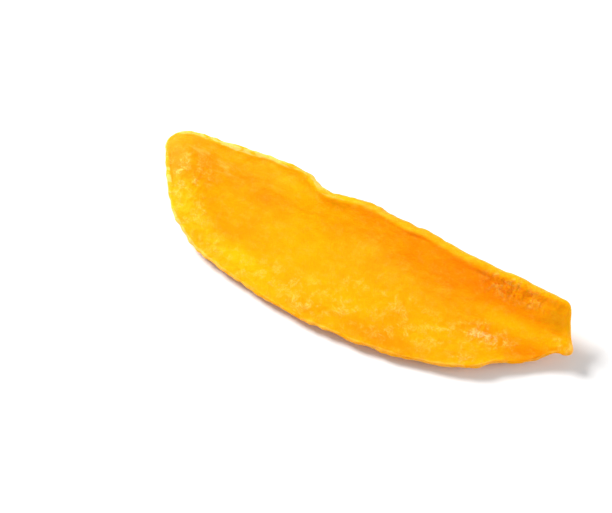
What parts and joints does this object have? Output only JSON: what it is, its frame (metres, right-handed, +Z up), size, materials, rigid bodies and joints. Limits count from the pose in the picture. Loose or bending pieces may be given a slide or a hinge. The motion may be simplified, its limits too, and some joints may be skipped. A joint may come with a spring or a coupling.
{
  "type": "dried mango slice",
  "caption": "Leathery slice of dried mango, long and tapered, with one long edge curled up into a lip.",
  "frame": {"origin": "centre of the footprint on the surface that the slice lies on", "axes": "+X along the slice from its broad end to its narrow end, +Y towards the curled long edge, +Z up"},
  "size_m": [0.1244, 0.04, 0.0152],
  "materials": {
    "dried_mango": "satin, slightly waxy"
  },
  "bodies": {
    "root": {"mango_slice": "dried_mango"}
  },
  "joints": []
}
